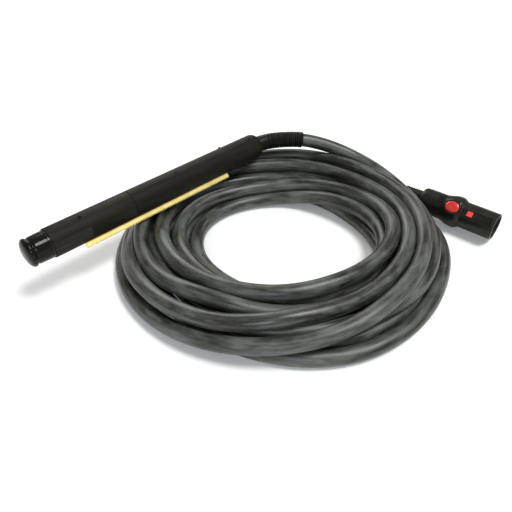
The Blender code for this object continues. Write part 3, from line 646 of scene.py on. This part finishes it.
def lead_rubber():
    """Dark rubber with chalky smudges rubbed along its length, pits and shallow dents."""
    paint = Paint("lead_rubber", Specular_IOR_Level=0.45)
    streaks = paint.noise(paint.place((16, 150, 150), "wrap"), 6, 0.62)
    smudges = paint.noise(paint.place((22, 75, 75), "wrap"), 5, 0.6)
    dents = paint.noise(paint.place((28, 60, 60), "wrap"), 2, 0.4)
    grain = paint.noise(paint.place((1100, 1700, 1700), "wrap"), 3, 0.65)
    base = paint.ramp(streaks, [(0.36, (0.007, 0.0073, 0.0058)), (0.5, (0.026, 0.027, 0.022)),
                                (0.64, (0.085, 0.088, 0.076))])
    chalk = paint.ramp(smudges, [(0.42, 0.0), (0.54, 0.35), (0.66, 0.9)])
    specks = paint.ramp(grain, [(0.62, 0.0), (0.75, 0.3)])
    dusty = paint.mix(chalk, base, (0.125, 0.135, 0.125))
    paint.colour(paint.mix(specks, dusty, (0.17, 0.18, 0.17)))
    paint.roughness(paint.ramp(smudges, [(0.35, 0.27), (0.65, 0.46)]))
    paint.bump(paint.mix(0.12, dents, grain), 0.55, 1.4)
    return paint.material


def moulded(name, dark, light, rough, grain=0.12, scale=9, coat=0.0, shine=0.2):
    """Moulded plastic: slow colour drift, fine texture and paler worn edges."""
    paint = Paint(name, Roughness=rough, Coat_Weight=coat, Coat_Roughness=0.12, Specular_IOR_Level=shine)
    drift = paint.noise(paint.place((scale, scale * 5, scale * 5)), 4)
    texture = paint.noise(paint.place((1500, 1500, 1500)), 2)
    tone = paint.mix(paint.ramp(drift, [(0.35, 0.0), (0.65, 1.0)]), dark, light)
    worn = tuple(min(1.0, 1.7 * value + 0.01) for value in light)
    paint.colour(paint.mix(paint.edges(), tone, worn))
    paint.roughness(paint.ramp(drift, [(0.3, max(0.03, rough - 0.07)), (0.7, rough + 0.07)]))
    paint.bump(texture, grain, 0.1)
    return paint.material


def metal(name, dark, light, rough):
    """Machined metal: fine lines along X and slightly tarnished patches."""
    paint = Paint(name, Roughness=rough, Metallic=1.0)
    lines = paint.noise(paint.place((30, 900, 900)), 4)
    tarnish = paint.noise(paint.place((70, 70, 70)), 4)
    paint.colour(paint.mix(paint.ramp(tarnish, [(0.38, 0.0), (0.68, 1.0)]), light, dark))
    paint.roughness(paint.ramp(lines, [(0.3, rough - 0.08), (0.7, rough + 0.12)]))
    paint.bump(lines, 0.12, 0.1)
    return paint.material


def make_materials():
    """Every finish by the name of the slot it goes into."""
    made = {name: moulded(name, **look) for name, look in MOULDED.items()}
    made.update({name: metal(name, **look) for name, look in METALS.items()})
    made["lead_rubber"] = lead_rubber()
    return made


# ---- pieces --------------------------------------------------------------------

def make_lead(material):
    """The whole free lead as one tube, from inside the boot to the plug's relief."""
    route = respaced(settled(heap_route()), LEAD_SPACING)
    lead = swept("free_lead", route, [LEAD_R] * len(route), material, LEAD_SIDES)
    placed(lead, FIXED, "lead_rubber", "lead_tail", "lead_coil", "lead_end")


def screw_holes(places):
    """Cutters for the sleeves' own screws: a hole for the thread and a seat for the head."""
    cutters = []
    for x in places:
        spot = radial(TORCH, x, SCREW_ANGLE)
        cutters.append(rod(HOLE_START, BARREL_R, SCREW_HOLE_R, spot))
        cutters.append(rod(SCREW_HEAD_SEAT, BARREL_R + 2, SCREW_HEAD_R, spot))
    return cutters


def make_barrel(material):
    """Front and rear sleeves with their rack slot, flat and screw holes."""
    seam_front, seam_rear = SLEEVE_SEAM - SEAM_GAP / 2, SLEEVE_SEAM + SEAM_GAP / 2
    front = turned("barrel_front", [
        (BARREL_FRONT, SLEEVE_BORE_R), (BARREL_FRONT, BARREL_R), (seam_front, BARREL_R),
        (seam_front, SLEEVE_BORE_R)], material, TORCH, radius=FRONT_EDGE_R)
    quarter = [math.pi / 2 * step / SHOULDER_STEPS for step in range(SHOULDER_STEPS + 1)]
    shoulder = [(BARREL_REAR - SHOULDER_LENGTH * (1 - math.sin(angle)),
                 BARREL_R - SHOULDER_DROP * (1 - math.cos(angle))) for angle in quarter]
    wall = BARREL_REAR - REAR_WALL
    rear = turned("barrel_rear", [
        (seam_rear, SLEEVE_BORE_R), (seam_rear, BARREL_R), (seam_rear + 1, BARREL_R), *shoulder,
        (BARREL_REAR, REAR_BORE_R), (wall, REAR_BORE_R), (wall, SLEEVE_BORE_R)],
        material, TORCH, radius=REAR_EDGE_R)
    outside = BARREL_R + 2
    for sleeve, inside in ((front, lambda x: x < SLEEVE_SEAM), (rear, lambda x: x > SLEEVE_SEAM)):
        cutters = [block(RACK_START - RACK_FIT, RACK_END + RACK_FIT, RACK_SEAT_R, outside,
                         RACK_WIDTH + 2 * RACK_FIT, about_axis(TORCH, RACK_ANGLE))]
        cutters += screw_holes(filter(inside, SLEEVE_SCREWS))
        cutters += [rod(HOLE_START, outside, RACK_SCREW_R, radial(TORCH, x, RACK_ANGLE))
                    for x in filter(inside, RACK_SCREWS)]
        if sleeve is rear:
            cutters += [rod(HOLE_START, outside, size, radial(TORCH, x, angle))
                        for x, angle, size in SIDE_SCREWS]
        else:
            cutters.append(block(FLAT_START, SLEEVE_SEAM + FLAT_PAST_SEAM, FLAT_SEAT_R, outside, FLAT_WIDTH,
                                 about_axis(TORCH, FLAT_ANGLE)))
        combined(sleeve, "DIFFERENCE", *cutters)
    placed(front, FIXED, "barrel_plastic", "mounting_sleeve")
    placed(rear, FIXED, "barrel_plastic", "positioning_sleeve")


def make_cap(material):
    """Soft glossy cap: a domed bumper, a waist and a body that meets the barrel."""
    outside = smooth_route([(CAP_TIP + x, radius, 0) for x, radius in CAP_OUTSIDE], CAP_OUTSIDE_STEP)
    groove = [(CAP_TIP + x, radius) for x, radius in CAP_GROOVE]
    inside = [(CAP_TIP + x, radius) for x, radius in CAP_INSIDE]
    end = BARREL_FRONT - CAP_FIT
    cap = turned("nose_cap_shell", [*(tuple(point[:2]) for point in outside), *groove, (end - 0.3, 16.4),
                                    (end, 16.1), (end, 14.6), *inside], material, TORCH)
    placed(cap, "nose_cap", "cap_vinyl", "nose_cap")


def make_boot(material):
    """Strain-relief boot: a plain neck from the barrel, then soft round ribs."""
    route = smooth_route(BOOT_ROUTE, BOOT_STEP)
    along = steps_along(route)
    barrel_end = BARREL_REAR - BOOT_ROUTE[0][0]
    end = barrel_end + BOOT_LENGTH
    kept = (along >= barrel_end - BOOT_INSIDE) & (along <= end)
    ribs_start = barrel_end + BOOT_NECK
    pitch = (end - ribs_start) / BOOT_RIBS
    radii = []
    for length in along[kept]:
        neck = np.interp(length - barrel_end, BOOT_NECK_PLACES, BOOT_NECK_RADII)
        share = (length - ribs_start) / (end - ribs_start)
        rib = abs(math.sin(math.pi * (length - ribs_start) / pitch)) ** 0.5
        ribbed = BOOT_VALLEY_R - BOOT_TAPER * share + BOOT_RIB_HEIGHT * rib
        radii.append(neck if length < ribs_start else ribbed)
    boot = swept("ribbed_boot", route[kept], radii, material, BOOT_SIDES)
    placed(boot, FIXED, "boot_rubber", "strain_relief")


def grip_outline():
    """The grip's closed outline: rounded rear, bulge, front edge and bore."""
    start, length, rise = GRIP_FLARE
    back = [(GRIP_REAR + x, radius) for x, radius in GRIP_BACK]
    flare = [(start + length * step / GRIP_FLARE_STEPS,
              GRIP_R + rise * (1 - math.cos(math.pi * step / GRIP_FLARE_STEPS)) / 2)
             for step in range(GRIP_FLARE_STEPS + 1)]
    front = GRIP_LENGTH - GRIP_TO_SHOULDER
    return [*back, *flare, *GRIP_FRONT, (front, SLEEVE_R), (front, GRIP_BORE[0][1]), *GRIP_BORE]


def grip_screw_holes():
    """Cutters for the two screws that join grip and sleeve."""
    return [rod(*GRIP_SCREW_HOLE, GRIP_SCREW_R, radial(PLUG, x, angle)) for x, angle in GRIP_SCREWS]


def button_window():
    """The opening for the button, through the grip and the sleeve under it."""
    opening = [size + fit for size, fit in zip(BUTTON_SIZE, BUTTON_FIT)]
    return oval(BUTTON_X, [(*opening, height) for height in BUTTON_WINDOW], PLUG)


def make_grip(material):
    """The plug's grip with its raised button rim, and the ways cut for the latch and its pin."""
    grip = turned("plug_grip_shell", grip_outline(), material, PLUG)
    combined(grip, "UNION", oval(BUTTON_X, BUTTON_BOSS, PLUG))
    lever_place = PLUG @ Matrix.Translation((LEVER_PIVOT[0] * MM, 0, LEVER_PIVOT[1] * MM))
    pin_place = lever_place @ Matrix.Rotation(math.pi / 2, 4, "Z")
    combined(grip, "DIFFERENCE",
             button_window(),
             block(LEVER_PIVOT[0] - LEVER_REAR, GRIP_LENGTH + 2, LEVER_FLOOR, LEVER_TOP[0],
                   LEVER_WIDTH, PLUG),
             rod(-PIN_REACH, PIN_REACH, PIN_R, pin_place),
             *grip_screw_holes())
    placed(grip, FIXED, "plug_plastic", "plug_grip")
    return grip


def make_plug_sleeve(material):
    """The plug's front sleeve, with its key channel and the window of the catch."""
    neck_bore, neck = SLEEVE_NECK_R
    sleeve = turned("plug_sleeve_shell", [
        (SLEEVE_NECK_START, neck_bore), (SLEEVE_NECK_START, neck), (GRIP_LENGTH, neck),
        (GRIP_LENGTH, SLEEVE_R), (PLUG_LENGTH, SLEEVE_R), (PLUG_LENGTH, SLEEVE_MOUTH_R),
        (GRIP_LENGTH, SLEEVE_MOUTH_R), (GRIP_LENGTH, neck_bore)], material, PLUG, radius=SLEEVE_EDGE_R)
    half = CATCH_SIZE[0] / 2 + CATCH_FIT
    combined(sleeve, "DIFFERENCE",
             button_window(),
             block(*KEY_CHANNEL, PLUG),
             block(SLEEVE_NECK_START - 1.5, GRIP_LENGTH + 0.5, LEVER_FLOOR, LEVER_TOP[1], LEVER_WIDTH, PLUG),
             block(CATCH_X - half, CATCH_X + half, *CATCH_WINDOW, CATCH_SIZE[1] + CATCH_FIT, PLUG),
             *grip_screw_holes())
    placed(sleeve, FIXED, "plug_plastic", "plug_sleeve")
    return sleeve


def make_spring(facts, place, material):
    """A spring about the place's own X, coiled from its fixed end to its moving end."""
    node, joint, fixed, moving, coil_radius, wire_radius, turns, share = facts
    shape = bmesh.new()
    rings = []
    steps = WIRE_STEPS * turns
    for index in range(steps + 1):
        angle = math.tau * turns * index / steps
        out = Vector((0, math.cos(angle), math.sin(angle)))
        middle = out * coil_radius + Vector((fixed + (moving - fixed) * index / steps, 0, 0))
        ring = []
        for side in range(WIRE_SIDES):
            around = math.tau * side / WIRE_SIDES
            offset = out * math.cos(around) + Vector((math.sin(around), 0, 0))
            ring.append(shape.verts.new((middle + offset * wire_radius) * MM))
        rings.append(ring)
    skinned(shape, rings)
    spring = linked(node + "_wire", shape, material, place)
    placed(spring, FIXED, "steel", node)
    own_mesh(spring)


def dress_cad(materials):
    """Give every carried-over CAD node its finished material, by its slot's name."""
    for node in frame["nodes"].values():
        for slot in node.material_slots:
            slot.material = materials[slot.material.name.split(".")[0]]


# ---- stage ---------------------------------------------------------------------

def make_camera():
    """The camera that sees the part from the same side as the picture it is made after."""
    data = bpy.data.cameras.new("camera")
    data.lens = CAMERA_LENS
    data.sensor_width = CAMERA_SENSOR
    camera = bpy.data.objects.new("camera", data)
    tilt = math.radians(CAMERA_TILT)
    flat = Vector((*CAMERA_HEADING, 0)).normalized()
    look = flat * math.cos(tilt) - Vector((0, 0, math.sin(tilt)))
    camera.location = Vector(CAMERA_PLACE) * MM
    camera.rotation_euler = look.to_track_quat("-Z", "Y").to_euler()
    bpy.context.scene.collection.objects.link(camera)
    bpy.context.scene.camera = camera


def make_floor():
    """A white sheet under the part."""
    shape = bmesh.new()
    bmesh.ops.create_grid(shape, x_segments=2, y_segments=2, size=FLOOR_SIZE / 2 * MM)
    paint = Paint("floor_paper", Roughness=0.8, Specular_IOR_Level=0.2, Emission_Color=(1, 1, 1, 1),
                  Emission_Strength=FLOOR_GLOW)
    tone = paint.noise(paint.place((3, 3, 3)), 2)
    paint.colour(paint.ramp(tone, [(0.0, 0.86), (1.0, 0.9)]))
    floor = linked("floor", shape, paint.material, Matrix.Translation((0, 0, -FLOOR_DROP * MM)))


def add_light(data, place, target):
    """Put a light at a place, turned to a target."""
    light = bpy.data.objects.new(data.name, data)
    light.location = place
    light.rotation_euler = (Vector(target) - Vector(place)).to_track_quat("-Z", "Y").to_euler()
    bpy.context.scene.collection.objects.link(light)


def make_studio():
    """White surroundings, a soft sun and two panels: one at the front left and one behind."""
    world = bpy.data.worlds.new("studio")
    world.use_nodes = True
    background = world.node_tree.nodes["Background"]
    background.inputs["Color"].default_value = (1.0, 1.0, 1.0, 1.0)
    background.inputs["Strength"].default_value = WORLD_STRENGTH
    bpy.context.scene.world = world
    bpy.context.scene.view_settings.view_transform = "Standard"
    overhead = bpy.data.lights.new("overhead", "SUN")
    overhead.energy = SUN_STRENGTH
    overhead.angle = math.radians(SUN_WIDTH)
    add_light(overhead, SUN_FROM, (0.0, 0.0, 0.0))
    for name, size, energy, colour, place in PANELS:
        panel = bpy.data.lights.new(name, "AREA")
        panel.size = size
        panel.energy = energy
        panel.color = colour
        add_light(panel, place, PANEL_TARGET)


# ---- build ---------------------------------------------------------------------

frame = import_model()
finishes = make_materials()
make_camera()
make_floor()
make_studio()
make_barrel(finishes["barrel_plastic"])
make_cap(finishes["cap_vinyl"])
make_boot(finishes["boot_rubber"])
shells = [make_grip(finishes["plug_plastic"]), make_plug_sleeve(finishes["plug_plastic"])]
make_lead(finishes["lead_rubber"])
make_spring(PLUNGER_SPRING, TORCH, finishes["steel"])
make_spring(LATCH_SPRING, BUTTON_SHAFT, finishes["steel"])
dress_cad(finishes)
